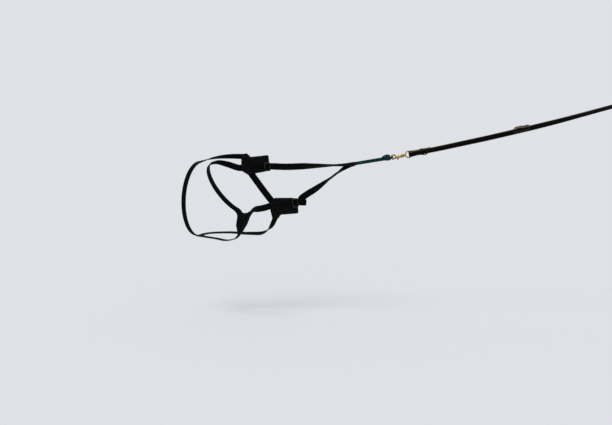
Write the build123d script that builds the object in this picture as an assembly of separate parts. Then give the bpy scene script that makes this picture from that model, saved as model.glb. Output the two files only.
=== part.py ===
from build123d import *
import math
import os

# Pulling harness with its two traces, tug rope, swivel bolt snap and leather lead, drawn taut
# as it works. Millimetres, +Z up. The origin is the middle of the neck opening, +X runs along
# the pull towards the hand, and -Y is the side that the viewer stands on.

# Wearer's pose, in degrees
HEADING = 35.0
NECK_RISE = 44.4

# Webbing: width and thickness of the straps
WEB = 25.0
NECK_WEB = 20.0
GIRTH_WEB = 20.0
THICK = 2.6
PAD_THICK = 7.0

# Chest plate: radius of its bulge, and how far left of its middle the bulge is deepest
BREAST_ROUND = 150.0
BREAST_MIDDLE = 15.0

# Neck opening and girth, as half axes of the loop that touches the wearer
NECK_SIDE = 74.0
NECK_RISE_HALF = 118.0
GIRTH_SIDE = 100.0
GIRTH_RISE = 140.0
GIRTH_CENTRE = Vector(-115, 72, -56)

# Tug rope: its thickness, and how far each strand lies off the middle at the lap and at the knot
ROPE = 6.2
STRAND = 6.8
STRAND_NEAR = 3.45
STRAND_FAR = 3.95
ROPE_START = Vector(470, 0, 93)
KNOT_LENGTH = 22.0

# Swivel bolt snap, in its own frame: x along its axis to the lead, z up, origin at its back face
SNAP_PLACE = Vector(652, 0, 124)
SNAP_SLOPE = 13.8
HOOK_X = -41.0
HOOK_Z = 3.2
HOOK_RADIUS = 8.2
HOOK_WIRE = 2.5
BARREL_FRONT = -30.2
BARREL_RADIUS = 5.4
BOLT_Z = -2.4
BOLT_RADIUS = 2.35
BOLT_TIP = -42.2
BOLT_TAIL = -19.5
BOLT_TRAVEL = 7.5
KNOB_X = -26.8
POST_RADIUS = 2.3
EYE_BAR_X = 22.0
EYE_HALF = 14.6
EYE_WIRE = 2.0

# Lead: strap section, its roll about its own line, and where its ring and tab sit
LEAD_WIDTH = 22.0
LEAD_THICK = 3.5
FOLD_SLOPE = 11.5
FOLD_ROLL = 25.0
FOLD_LENGTH = 80.0
LAP_RING_X = 44.0
RING_WIRE = 1.6
RING_HALF = 13.85
TAB_PLACE = (1089, 0, 220.03)
TAB_SLOPE = 13.57
TAB_ROLL = 21.0
TAB_LENGTH = 28.0
TAB_START = -24.0
TAB_THICK = 2.2
TAB_BAR = 15.5
TAB_WIRE = 1.45
TAB_LEAN = 43.5
TAB_HALF = 29.5
LOOP_SLOPE = 14.0
LOOP_ROLL = 40.0

UP = Vector(0, 0, 1)
FORE = Vector(math.cos(math.radians(HEADING)), -math.sin(math.radians(HEADING)), 0)
LEFT = Vector(math.sin(math.radians(HEADING)), math.cos(math.radians(HEADING)), 0)
NECK = FORE * math.cos(math.radians(NECK_RISE)) + UP * math.sin(math.radians(NECK_RISE))
NAPE = UP * math.cos(math.radians(NECK_RISE)) - FORE * math.sin(math.radians(NECK_RISE))


def cut(centre, along, across, width, thick):
    """Rectangle across a strap, its long side lying along 'across'."""
    along = along.normalized()
    across = (across - along * across.dot(along)).normalized()
    return Plane(origin=centre, x_dir=across, z_dir=along) * Rectangle(width, thick)


def strap(stations, thick, start=None, finish=None):
    """Flat strap through a table of stations: centre, direction across, width."""
    spots = [Vector(*centre) for centre, across, width in stations]
    last = len(spots) - 1
    sections = []
    for i, (centre, across, width) in enumerate(stations):
        along = spots[min(i + 1, last)] - spots[max(i - 1, 0)]
        if i == 0 and start is not None:
            along = start
        if i == last and finish is not None:
            along = finish
        sections.append(cut(spots[i], along, Vector(*across), width, thick))
    return loft(sections, ruled=True)


def half_loop(plane, side, rise, width, thick, foot):
    """Strap round the near half of an ellipse, from its top to the angle 'foot'."""
    ring = Ellipse(side + thick, rise + thick) - Ellipse(side, rise)
    reach = 3 * rise
    wedge = [(0, 0), (0, reach), (-reach, reach), (-reach, -reach)]
    wedge.append((reach * math.cos(math.radians(foot)), reach * math.sin(math.radians(foot))))
    return extrude(plane * (ring & make_face(Polyline(*wedge, close=True))), width / 2, both=True)


def rod(start, finish, radius):
    """Round bar between two points."""
    run = Vector(*finish) - Vector(*start)
    return extrude(Plane(origin=start, z_dir=run.normalized()) * Circle(radius), run.length)


def wire_loop(plane, corners, radii, wire):
    """Closed loop of round wire through rounded corners."""
    path = plane * FilletPolyline(*corners, radius=radii, close=True)
    return sweep(Plane(origin=path @ 0, z_dir=path % 0) * Circle(wire), path=path)


def sewn_pad(frame, outline):
    """Padded panel behind the webbing, with a soft rounded rim."""
    face = fillet(make_face(Polyline(*outline, close=True)).vertices(), 6)
    panel = extrude(frame.offset(-THICK - PAD_THICK) * face, PAD_THICK)
    rim = panel.edges().filter_by(lambda e: abs(e.tangent_at(0.5).dot(frame.z_dir)) < 0.1)
    return fillet(rim, 2.4)


def woven_end(frame, start, finish):
    """Webbing that runs along a pad, dives under a slide, over its middle bar and out again."""
    side = Plane(origin=frame.origin, x_dir=frame.x_dir, z_dir=frame.x_dir.cross(frame.z_dir))
    low = -THICK / 2
    path = FilletPolyline(
        (start, low), (-6.4, low), (-3.0, 4.4), (3.0, 4.4), (6.4, low), (finish, low), radius=1.5
    )
    return extrude(side * trace(path, THICK), WEB / 2, both=True)


def slide(frame):
    """Three-bar slide: two slots that the webbing weaves through."""
    plate = RectangleRounded(22, 33.5, 4) - Pos(4.75, 0) * RectangleRounded(6.1, 26.6, 2)
    plate -= Pos(-4.75, 0) * RectangleRounded(6.1, 26.6, 2)
    body = extrude(frame * plate, 3.0)
    flat = body.faces().filter_by(lambda f: abs(f.normal_at().dot(frame.z_dir)) > 0.9)
    return chamfer(flat.edges(), 0.6)


def web_tail(frame, droop):
    """Free end of the webbing behind the trace, with rounded corners."""
    face = RectangleRounded(30, WEB, 5)
    spot = frame.offset(-2 * THICK) * Pos(12, 0) * Rot(0, 0, -droop) * Pos(15, 0)
    return extrude(spot * face, THICK)


# Side frames: x along the webbing, z towards the viewer, origin at the middle of the slide
def pad_frame(x, y, z, slope):
    a = math.radians(slope)
    return Plane(origin=(x, y, z), x_dir=(math.cos(a), 0, math.sin(a)), z_dir=(0, -1, 0))


LEFT_FRAME = pad_frame(245, 63.4, -70, 8)
RIGHT_FRAME = pad_frame(140, 57.0, 70, 3)
PAD_OUTLINE = [
    (-94, 15), (-75, 28), (-14, 20), (9, 14), (6, -43), (-61, -39), (-75, -54), (-95, -51), (-98, -16)
]


def in_frame(frame, x, y, z):
    return frame.origin + frame.x_dir * x + frame.y_dir * y + frame.z_dir * z


def build_harness():
    nodes = {}
    neck_plane = Plane(origin=(0, 0, 0), x_dir=LEFT, z_dir=NECK)
    nape = NAPE * (NECK_RISE_HALF + THICK / 2)
    web_right = in_frame(RIGHT_FRAME, -97, 0, -THICK / 2)
    web_left = in_frame(LEFT_FRAME, -97, 0, -THICK / 2)

    near_arm = half_loop(neck_plane, NECK_SIDE, NECK_RISE_HALF, NECK_WEB, THICK, 250)
    over_nape = strap(
        [
            (nape, NECK, NECK_WEB),
            ((-48, 64, 86), (0.52, -0.36, 0.78), NECK_WEB),
            ((-10, 68, 77), (0.25, -0.2, 0.94), 24),
            (web_right, RIGHT_FRAME.y_dir, WEB),
        ],
        THICK, start=LEFT, finish=RIGHT_FRAME.x_dir,
    )
    nodes["neck_strap_right"] = near_arm + over_nape

    # Chest plate, in its own plane: x to the wearer's left, y up, z forward
    down = Vector(-25, 13, -79)
    down = (down - LEFT * down.dot(LEFT)).normalized()
    chest = Plane(origin=(62, -43, -84), x_dir=LEFT, z_dir=LEFT.cross(down * -1))
    rim = (
        Polyline((-46, 21), (-48, 1))
        + ThreePointArc((-48, 1), (-38, -12), (-34, -30))
        + Polyline((-34, -30), (-30, -54), (-12, -86), (12, -86), (30, -54), (34, -30))
        + ThreePointArc((34, -30), (37, -18), (47, -11))
        + Line((47, -11), (46, 14))
        + ThreePointArc((46, 14), (0, -4), (-46, 21))
    )
    middle = chest.location * Pos(BREAST_MIDDLE, -35, -BREAST_ROUND) * Rot(90, 0, 0)
    shell = middle * (Cylinder(BREAST_ROUND + 3, 160) - Cylinder(BREAST_ROUND - 3, 160))
    plate = extrude(chest * make_face(rim), 24, both=True) & shell
    skins = plate.faces().sort_by(SortBy.AREA)[-2:]
    nodes["chest_plate"] = fillet(skins.edges(), 1.8)

    arm_end = in_frame(chest, 42, 1, -2.4)
    nodes["chest_strap_left"] = strap(
        [
            (arm_end, chest.y_dir, WEB),
            ((107, 12, -82.5), (0.1, -0.05, 0.99), WEB),
            ((128, 38, -84), (-0.05, 0, 1), WEB),
            (web_left, LEFT_FRAME.y_dir, WEB),
        ],
        THICK, start=Vector(0.6, 0.8, 0), finish=LEFT_FRAME.x_dir,
    )
    lean = (0.807, 0, 0.59)
    back_right = 57.0 + THICK + PAD_THICK + THICK / 2
    back_left = 63.4 + THICK + PAD_THICK + THICK / 2
    nodes["withers_strap"] = strap(
        [
            ((62, back_right, 66), lean, WEB),
            ((84, back_right, 34), lean, WEB),
            ((150, back_left, -58), lean, WEB),
            ((176, back_left, -90), lean, WEB),
        ],
        THICK,
    )

    sole = GIRTH_CENTRE.Z - GIRTH_RISE - THICK
    belly = Vector(GIRTH_CENTRE.X, GIRTH_CENTRE.Y, sole + THICK / 2)
    nodes["breast_strap"] = strap(
        [
            (in_frame(chest, 0, -84, 0), LEFT, 23),
            ((26, -22, -185), LEFT, GIRTH_WEB),
            ((-6, -2, sole - THICK / 2), LEFT, GIRTH_WEB),
            (belly + FORE * 70 - UP * (THICK + 0.1), LEFT, GIRTH_WEB),
            (belly - FORE * 14 - UP * (THICK + 0.1), LEFT, GIRTH_WEB),
        ],
        THICK, start=chest.y_dir * -1,
    )
    girth_plane = Plane(origin=GIRTH_CENTRE, x_dir=LEFT, z_dir=FORE)
    near_girth = half_loop(girth_plane, GIRTH_SIDE, GIRTH_RISE, GIRTH_WEB, THICK, 270)
    crest = GIRTH_CENTRE + UP * (GIRTH_RISE + THICK / 2)
    over_back = strap(
        [
            (crest, FORE, GIRTH_WEB),
            (crest + LEFT * 26 + UP * 1, (0.80, -0.58, 0.18), GIRTH_WEB),
            ((-52, 88, 99), (0.42, -0.72, 0.55), GIRTH_WEB),
            ((8, 76, 106), (0.1, -0.35, 0.93), GIRTH_WEB),
            ((46, back_right, 107), (0, 0, 1), GIRTH_WEB),
            ((66, back_right, 107), (0, 0, 1), GIRTH_WEB),
        ],
        THICK, start=LEFT,
    )
    nodes["girth_strap_right"] = near_girth + over_back
    nodes["girth_strap_left"] = strap(
        [
            (belly, FORE, GIRTH_WEB),
            (belly + LEFT * 34, FORE, GIRTH_WEB),
            ((-10, 112, -195), (0.25, -0.95, -0.1), GIRTH_WEB),
            ((74, 104, -197), (-0.1, -0.93, -0.35), GIRTH_WEB),
            ((124, 92, -191), (-0.45, -0.75, -0.5), GIRTH_WEB),
            ((148, 83, -173), (-0.8, -0.45, -0.4), GIRTH_WEB),
            ((162, 77, -147), (-0.93, -0.2, -0.3), GIRTH_WEB),
            ((171, back_left, -122), (-0.96, 0, -0.28), GIRTH_WEB),
            ((175, back_left, -104), (-0.96, 0, -0.28), GIRTH_WEB),
        ],
        THICK, start=LEFT,
    )

    nodes["side_pad_left"] = sewn_pad(LEFT_FRAME, PAD_OUTLINE)
    nodes["side_pad_right"] = sewn_pad(RIGHT_FRAME, [(x, -y) for x, y in reversed(PAD_OUTLINE)])
    nodes["pad_webbing_left"] = woven_end(LEFT_FRAME, -97, 14)
    nodes["pad_webbing_right"] = woven_end(RIGHT_FRAME, -97, 14)
    nodes["slider_left"] = slide(LEFT_FRAME)
    nodes["slider_right"] = slide(RIGHT_FRAME)
    nodes["strap_tail_left"] = web_tail(LEFT_FRAME, 16)
    nodes["strap_tail_right"] = web_tail(RIGHT_FRAME, 6)

    nodes["trace_left"] = strap(
        [
            (in_frame(LEFT_FRAME, 14, 0, -THICK / 2), LEFT_FRAME.y_dir, WEB),
            ((268.5, 62, -52), (-0.60, 0, 0.80), WEB),
            ((284, 56.5, -39), (-0.60, 0.15, 0.79), WEB),
            ((322, 42.5, -11.5), (-0.45, 0.62, 0.64), WEB),
            ((350, 31.5, 11), (-0.30, 0.85, 0.43), WEB),
            ((376, 21.5, 33), (-0.05, 1, 0), WEB),
            ((404, 11.5, 56.5), (0, 1, -0.05), 23),
            ((428, 5, 75), (0, 0.87, 0.5), 20),
            ((450, 1.2, 85.6), (0, 0.8, 0.6), 17),
        ],
        THICK, start=LEFT_FRAME.x_dir,
    )
    nodes["trace_right"] = strap(
        [
            (in_frame(RIGHT_FRAME, 14, 0, -THICK / 2), RIGHT_FRAME.y_dir, WEB),
            ((199, 48, 71.2), (0, 0.05, 1), WEB),
            ((232, 41.5, 72.8), (0, 0.26, 0.97), WEB),
            ((266, 35.5, 75.6), (0, 0.62, 0.79), WEB),
            ((300, 28.5, 78), (0, 0.83, 0.56), WEB),
            ((340, 20, 81), (0, 0.95, 0.31), WEB),
            ((385, 9.5, 84.6), (0, 1, 0.03), 22),
            ((428, 0, 88), (0, 0.99, 0.12), 20),
            ((450, -1.2, 89.6), (0, 0.8, 0.6), 17),
        ],
        THICK, start=RIGHT_FRAME.x_dir,
    )

    # Sewn lap that gathers both traces, and the rope that leaves it
    lap_across = Vector(0, 0.8, 0.6)
    lap_start = Vector(446, 0, 87)
    lap_along = ROPE_START - lap_start
    nodes["bridle_lap"] = loft(
        [
            cut(lap_start, lap_along, lap_across, 19, 8.2),
            cut(Vector(458, 0, 90), lap_along, lap_across, 17, 7.4),
            cut(ROPE_START, lap_along, lap_across, 14, 8.6),
        ],
        ruled=True,
    )
    nodes.update(build_rope())
    return nodes


def snap_point(x, y, z):
    a = math.radians(SNAP_SLOPE)
    along = Vector(math.cos(a), 0, math.sin(a))
    above = Vector(-math.sin(a), 0, math.cos(a))
    return SNAP_PLACE + along * x + Vector(0, 1, 0) * y + above * z


def build_rope():
    """Doubled tug rope, the knot that gathers it and the bight that the hook holds."""
    nodes = {}
    bight_z = HOOK_Z + 0.3
    knot_end = snap_point(-53.2, 0, bight_z)
    along = (knot_end - ROPE_START).normalized()
    knot_start = knot_end - along * KNOT_LENGTH
    above = Vector(-along.Z, 0, along.X)
    near, far = above * STRAND_NEAR, above * STRAND_FAR
    nodes["tug_rope_upper"] = rod(ROPE_START + near, knot_start + far, STRAND / 2)
    nodes["tug_rope_lower"] = rod(ROPE_START - near, knot_start - far, STRAND / 2)

    spot = Plane(origin=knot_start, x_dir=above, z_dir=along)
    knot = extrude(spot * Pos(1, 0) * Circle(8.5), KNOT_LENGTH)
    for reach, radius in ((3.7, 8.0), (10.6, 9.0), (18.1, 7.8)):
        knot += spot * Pos(2.8, 0, reach) * Torus(radius, 3.7)
    knot += spot * Pos(3.1, 0, 11) * Rot(0, 32, 0) * Torus(9.6, 3.2)
    nodes["tug_knot"] = knot

    wrap = HOOK_WIRE + ROPE / 2 + 0.05
    hook_far = HOOK_X - HOOK_RADIUS
    frame = Location(SNAP_PLACE, (0, -SNAP_SLOPE, 0))
    path = (
        Line((-53.6, -wrap, bight_z), (hook_far, -wrap, bight_z))
        + ThreePointArc((hook_far, -wrap, bight_z), (hook_far + wrap, 0, bight_z), (hook_far, wrap, bight_z))
        + Line((hook_far, wrap, bight_z), (-53.6, wrap, bight_z))
    )
    section = Plane(origin=(-53.6, -wrap, bight_z), z_dir=(1, 0, 0)) * Circle(ROPE / 2)
    nodes["tug_bight"] = frame * sweep(section, path=path)
    return nodes


def build_snap():
    """Cast hook with its barrel, the spring bolt with its thumb knob, and the swivel eye."""
    frame = Location(SNAP_PLACE, (0, -SNAP_SLOPE, 0))
    profile = make_face(Polyline(
        (BARREL_FRONT, 0), (BARREL_FRONT, 4.7), (BARREL_FRONT + 0.9, BARREL_RADIUS),
        (-12.5, BARREL_RADIUS), (-11.5, 4.9), (-9.8, 4.9), (-8.6, 6.0), (-2.0, 6.0), (0, 4.8), (0, 0),
        close=True,
    ))
    body = revolve(Plane.XZ * profile, axis=Axis.X)
    shoulder = loft([
        Plane(origin=(-27.5, 0, 0), z_dir=(-1, 0, 0)) * Circle(BARREL_RADIUS - 0.05),
        Plane(origin=(-34.2, 0, 2.4), z_dir=(-1, 0, 0)) * Circle(2.9),
    ])
    sweep_arc = Plane.XZ * CenterArc((HOOK_X, HOOK_Z), HOOK_RADIUS, -15, 255)
    hook = sweep(Plane(origin=sweep_arc @ 0, z_dir=sweep_arc % 0) * Circle(HOOK_WIRE), path=sweep_arc)
    hole = Pos(HOOK_X, 0, HOOK_Z) * Rot(90, 0, 0) * Cylinder(HOOK_RADIUS - HOOK_WIRE, 30)
    nose = Pos(*(sweep_arc @ 1)) * Sphere(2.9)
    body = body + (shoulder - hole) + hook + nose

    chamber_end = BOLT_TAIL + BOLT_TRAVEL + 0.4
    body -= rod((BARREL_FRONT - 5.6, 0, BOLT_Z), (chamber_end, 0, BOLT_Z), BOLT_RADIUS + 0.1)
    slot_front = KNOB_X - 1.9
    slot_back = KNOB_X + BOLT_TRAVEL + 1.9
    slot = Pos((slot_front + slot_back) / 2, 0, BOLT_Z - 4) * Box(slot_back - slot_front, 3.8, 8)
    body -= slot
    body -= rod((-3.2, 0, 0), (1, 0, 0), POST_RADIUS + 0.05)
    body -= rod((-10.2, 0, 0), (-3.2, 0, 0), 3.8)

    bolt = rod((BOLT_TIP, 0, BOLT_Z), (BOLT_TAIL, 0, BOLT_Z), BOLT_RADIUS)
    knob = make_face(Polyline(
        (0, BOLT_Z), (1.5, BOLT_Z), (1.5, -6.6), (2.4, -6.6), (3.3, -7.5), (3.3, -8.8), (2.4, -10.0),
        (0, -10.4), close=True,
    ))
    bolt += Pos(KNOB_X, 0, 0) * revolve(Plane.XZ * knob, axis=Axis.Z)

    roll = math.radians(FOLD_ROLL)
    eye_plane = Plane(origin=(0, 0, 0), x_dir=(1, 0, 0), z_dir=(0, -math.cos(roll), -math.sin(roll)))
    corners = [
        (4.4, 4.5), (11, EYE_HALF), (EYE_BAR_X, EYE_HALF),
        (EYE_BAR_X, -EYE_HALF), (11, -EYE_HALF), (4.4, -4.5),
    ]
    eye = wire_loop(eye_plane, corners, [3.5, 5, 2.4, 2.4, 5, 3.5], EYE_WIRE)
    eye += rod((-6.4, 0, 0), (4.2, 0, 0), POST_RADIUS)
    eye += rod((-8.6, 0, 0), (-6.4, 0, 0), 3.4)
    eye += rod((0.4, 0, 0), (3.0, 0, 0), 4.2)
    return {"snap_body": frame * body}, {"snap_bolt": frame * bolt}, {"swivel_eye": frame * eye}


def roll_frame(spot, slope, roll):
    """Plane across the strap's face: x along it, y out of its back, z to its upper edge."""
    a = math.radians(slope)
    b = math.radians(roll)
    upper = Vector(-math.sin(a) * math.cos(b), -math.sin(b), math.cos(a) * math.cos(b))
    return Plane(origin=spot, x_dir=(math.cos(a), 0, math.sin(a)), z_dir=upper)


def build_lead():
    nodes = {}
    fold = roll_frame(snap_point(EYE_BAR_X, 0, 0), FOLD_SLOPE, FOLD_ROLL)
    turn = EYE_WIRE + 0.1 + LEAD_THICK / 2
    ply = LEAD_THICK / 2 + 0.01
    proud = RING_WIRE + 0.3 + LEAD_THICK / 2
    front = [
        (0, -turn), (5, -turn), (20, -ply), (LAP_RING_X - 9, -ply), (LAP_RING_X - 3.2, -proud),
        (LAP_RING_X + 3.2, -proud), (LAP_RING_X + 9, -ply), (FOLD_LENGTH, -ply),
    ]
    radii = [30, 30, 5, 5, 5, 5]
    path = (
        FilletPolyline(*reversed(front), radius=list(reversed(radii)))
        + ThreePointArc((0, -turn), (-turn, 0), (0, turn))
        + FilletPolyline(*[(x, -y) for x, y in front], radius=radii)
    )
    nodes["lead_fold"] = extrude(fold * trace(path, LEAD_THICK), LEAD_WIDTH / 2, both=True)

    # Lead between its two laps: x, z, roll
    route = [
        (860, 167.5, 22.5), (960, 189.5, TAB_ROLL), (1052, 211.1, TAB_ROLL), (1122, 228, TAB_ROLL),
        (1237, 257.2, 29.5), (1335, 284.2, 38), (1432, 310.8, LOOP_ROLL), (1470, 320.4, LOOP_ROLL),
    ]
    begin = in_frame(fold, FOLD_LENGTH, -ply, 0)
    stations = [(begin, fold.z_dir, LEAD_WIDTH)]
    for x, z, roll in route:
        b = math.radians(roll)
        stations.append(((x, 0, z), (-0.24 * math.cos(b), -math.sin(b), 0.97 * math.cos(b)), LEAD_WIDTH))
    loop_frame = roll_frame((1470, 0, 320.4), LOOP_SLOPE, LOOP_ROLL)
    nodes["lead_strap"] = strap(stations, LEAD_THICK, start=fold.x_dir, finish=loop_frame.x_dir)

    # Hand loop: the strap turns back on itself and is sewn down over 60 mm
    back = LEAD_THICK + 0.02
    corners = [
        (0, 0), (62, 0), (118, -22), (200, -23), (225, 7), (200, 37), (118, 34), (62, back), (2, back)
    ]
    loop_path = FilletPolyline(*corners, radius=[60, 60, 24, 22, 24, 60, 60])
    nodes["hand_loop"] = extrude(loop_frame * trace(loop_path, LEAD_THICK), LEAD_WIDTH / 2, both=True)

    # Saddle of leather folded over the upper edge, which carries the second ring
    tab = roll_frame(TAB_PLACE, TAB_SLOPE, TAB_ROLL)
    middle = in_frame(tab, TAB_START + TAB_LENGTH / 2, 0, 0)
    across = Plane(origin=middle, x_dir=tab.y_dir, z_dir=tab.y_dir.cross(tab.z_dir))
    inner = LEAD_THICK / 2 + 0.02 + TAB_THICK / 2
    saddle = (
        Line((-inner, -7), (-inner, TAB_BAR))
        + ThreePointArc((-inner, TAB_BAR), (0, TAB_BAR + inner), (inner, TAB_BAR))
        + Line((inner, TAB_BAR), (inner, -7))
    )
    nodes["ring_tab"] = extrude(across * trace(saddle, TAB_THICK), TAB_LENGTH / 2, both=True)
    return nodes, fold, tab


def build_lap_ring(fold):
    """D-ring whose bar lies between the two plies and whose bow lies on the front of the strap."""
    lay = math.radians(24)
    bow = fold.x_dir * math.cos(lay) - fold.y_dir * math.sin(lay)
    spot = in_frame(fold, LAP_RING_X, 0, 0)
    plane = Plane(origin=spot, x_dir=bow, z_dir=bow.cross(fold.z_dir))
    corners = [(0, -RING_HALF), (0, RING_HALF), (12.5, RING_HALF), (21, 7), (21, -7), (12.5, -RING_HALF)]
    return {"lap_ring": wire_loop(plane, corners, [2.4, 2.4, 6, 6, 6, 6], RING_WIRE)}


def build_tab_ring(tab):
    """Oblong ring that hangs from the saddle and leans on the strap's upper edge."""
    spot = in_frame(tab, 0, 0, TAB_BAR)
    lean = math.radians(TAB_LEAN)
    hang = tab.z_dir * -math.cos(lean) - tab.y_dir * math.sin(lean)
    plane = Plane(origin=spot, x_dir=tab.x_dir, z_dir=tab.x_dir.cross(hang))
    corners = [(-TAB_HALF, 0), (TAB_HALF, 0), (TAB_HALF, 17), (-TAB_HALF, 17)]
    return {"tab_ring": wire_loop(plane, corners, [4, 4, 6, 6], TAB_WIRE)}


def main():
    os.makedirs("parts", exist_ok=True)
    nodes = build_harness()
    snap, bolt, eye = build_snap()
    lead, fold, tab = build_lead()
    for group in (snap, bolt, eye, lead, build_lap_ring(fold), build_tab_ring(tab)):
        nodes.update(group)
    for name, shape in nodes.items():
        export_step(shape, f"parts/{name}.step")


main()
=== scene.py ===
import math
from collections import namedtuple

import bmesh
import bpy
from mathutils import Matrix, Vector
from mathutils.bvhtree import BVHTree


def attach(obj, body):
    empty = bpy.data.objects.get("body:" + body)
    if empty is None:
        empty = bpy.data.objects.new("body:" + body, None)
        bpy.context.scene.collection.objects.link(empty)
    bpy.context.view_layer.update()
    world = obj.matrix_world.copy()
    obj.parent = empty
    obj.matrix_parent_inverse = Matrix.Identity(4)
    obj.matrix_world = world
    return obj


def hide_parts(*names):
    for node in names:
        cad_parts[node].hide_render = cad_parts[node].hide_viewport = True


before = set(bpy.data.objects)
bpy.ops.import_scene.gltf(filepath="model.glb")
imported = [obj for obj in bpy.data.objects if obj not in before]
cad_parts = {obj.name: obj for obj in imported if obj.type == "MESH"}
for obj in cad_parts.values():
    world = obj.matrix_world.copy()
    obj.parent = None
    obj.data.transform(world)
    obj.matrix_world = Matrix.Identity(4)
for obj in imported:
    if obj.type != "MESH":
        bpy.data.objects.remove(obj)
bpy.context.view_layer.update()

# Lengths below are millimetres, as in the drawing, and turn into metres when a mesh is made.
MM = 0.001
WEB, NECK_WEB, GIRTH_WEB, THICK, WEB_EDGE = 25.0, 20.0, 20.0, 2.6, 0.9
PAD_THICK, TAPE_THICK = 7.0, 2.2
ROPE, STRAND = 6.2, 6.8
LEAD_WIDTH, LEAD_THICK, LEAD_EDGE = 22.0, 3.5, 0.7

TURN = 2 * math.pi
HEADING, NECK_RISE = math.radians(35), math.radians(44.4)
UP = Vector((0, 0, 1))
FORE = Vector((math.cos(HEADING), -math.sin(HEADING), 0))
LEFT = Vector((math.sin(HEADING), math.cos(HEADING), 0))
NECK = FORE * math.cos(NECK_RISE) + UP * math.sin(NECK_RISE)
NAPE = UP * math.cos(NECK_RISE) - FORE * math.sin(NECK_RISE)


# Node trees


class Value:
    """Number that runs through a node tree. Plain arithmetic on it adds the nodes."""

    def __init__(self, tree, socket):
        self.tree, self.socket = tree, socket

    def __add__(self, other):
        return calc("ADD", self, other)

    def __sub__(self, other):
        return calc("SUBTRACT", self, other)

    def __rsub__(self, other):
        return calc("SUBTRACT", other, self)

    def __mul__(self, other):
        return calc("MULTIPLY", self, other)

    def __truediv__(self, other):
        return calc("DIVIDE", self, other)

    def __pow__(self, other):
        return calc("POWER", self, other)

    def __abs__(self):
        return calc("ABSOLUTE", self)


def calc(operation, a, b=0.0):
    tree = (a if isinstance(a, Value) else b).tree
    return Value(tree, add(tree, "ShaderNodeMath", {0: a, 1: b}, operation=operation).outputs[0])


def plug(tree, entry, value):
    value = value.socket if isinstance(value, Value) else value
    if isinstance(value, bpy.types.NodeSocket):
        tree.links.new(value, entry)
    else:
        entry.default_value = value


def add(tree, kind, inputs=(), **settings):
    made = tree.nodes.new(kind)
    for key, value in settings.items():
        setattr(made, key, value)
    for key, value in dict(inputs).items():
        plug(tree, made.inputs[key], value)
    return made


class Finish:
    """Material under way, and the places on a piece that its patterns read."""

    def __init__(self, name):
        self.material = bpy.data.materials.new(name)
        self.material.use_nodes = True
        self.tree = self.material.node_tree
        self.where = add(self.tree, "ShaderNodeTexCoord").outputs

    def value(self, kind, inputs, output=0):
        return Value(self.tree, add(self.tree, kind, inputs).outputs[output])

    def grain(self, scale, detail=4.0, rough=0.55, where="Object"):
        """Cloudy noise. Three scales stretch it along the axes."""
        place = self.where[where]
        if isinstance(scale, tuple):
            stretched = add(self.tree, "ShaderNodeVectorMath", {0: place, 1: scale}, operation="MULTIPLY")
            place, scale = stretched.outputs[0], 1.0
        inputs = {"Vector": place, "Scale": scale, "Detail": detail, "Roughness": rough}
        return self.value("ShaderNodeTexNoise", inputs)

    def cells(self, scale, randomness=1.0):
        inputs = {"Vector": self.where["Object"], "Scale": scale, "Randomness": randomness}
        return self.value("ShaderNodeTexVoronoi", inputs, "Distance")

    def strap_lines(self):
        """Distance along a strap, and across it from its middle."""
        return [self.value("ShaderNodeSeparateXYZ", {0: self.where["UV"]}, i) for i in (0, 1)]

    def done(self, shade, stops, height, strength, depth, rough, gloss=0.5, **others):
        """Colours in stops along 'shade', relief from 'height', and the shader's other inputs."""
        blend = add(self.tree, "ShaderNodeValToRGB", {0: shade})
        marks = blend.color_ramp.elements
        while len(marks) < len(stops):
            marks.new(0.5)
        for mark, (place, colour) in zip(marks, stops):
            mark.position = place
            mark.color = (*colour, 1)
        bump = add(self.tree, "ShaderNodeBump", {"Strength": strength, "Distance": depth, "Height": height})
        shader = self.tree.nodes["Principled BSDF"].inputs
        plug(self.tree, shader["Base Color"], blend.outputs[0])
        plug(self.tree, shader["Normal"], bump.outputs[0])
        plug(self.tree, shader["Roughness"], rough)
        plug(self.tree, shader["Specular IOR Level"], gloss)
        for key, value in others.items():
            plug(self.tree, shader[key.replace("_", " ").title()], value)
        return self.material


def webbing_material(name, dark, light, rib=0.0019, warp=0.0026):
    """Flat nylon webbing: chevron ribs across, warp lines along, cloudy dust."""
    made = Finish(name)
    along, across = made.strap_lines()
    rows = calc("SINE", (along / rib + calc("PINGPONG", across / warp, 1.0) * 0.5) * TURN)
    ends = calc("SINE", across * (TURN / 0.0013))
    dust = made.grain(38.0, 6.0)
    return made.done(
        rows * 0.16 + dust, [(0.30, dark), (0.86, light)],
        rows + ends * 0.45 + made.grain(900.0) * 0.8, 0.55, 0.00022,
        dust * 0.25 + 0.55, 0.03, sheen_weight=0.012, sheen_roughness=0.5,
    )


def padding_material():
    """Black spacer mesh: small round holes in an even net."""
    made = Finish("padded spacer mesh")
    hole, soft = made.cells(420.0, 0.25), made.grain(55.0, 5.0)
    return made.done(
        hole * 0.7 + soft * 0.5, [(0.25, (0.0006, 0.0006, 0.0008)), (0.85, (0.0036, 0.0036, 0.0042))],
        hole * 1.2 + soft * 0.5, 0.6, 0.0005, 0.82, 0.06, sheen_weight=0.02,
    )


def rope_material(name, dark, light):
    """Twisted fibre yarn: fine lines that run along it, and cloudy paler patches."""
    made = Finish(name)
    lines = made.grain((160.0, 2600.0, 1.0), 5.0, where="UV")
    return made.done(
        lines * 0.6 + made.grain(120.0) * 0.5, [(0.32, dark), (0.78, light)], lines, 0.7, 0.0002,
        0.66, 0.10, sheen_weight=0.012,
    )


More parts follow.
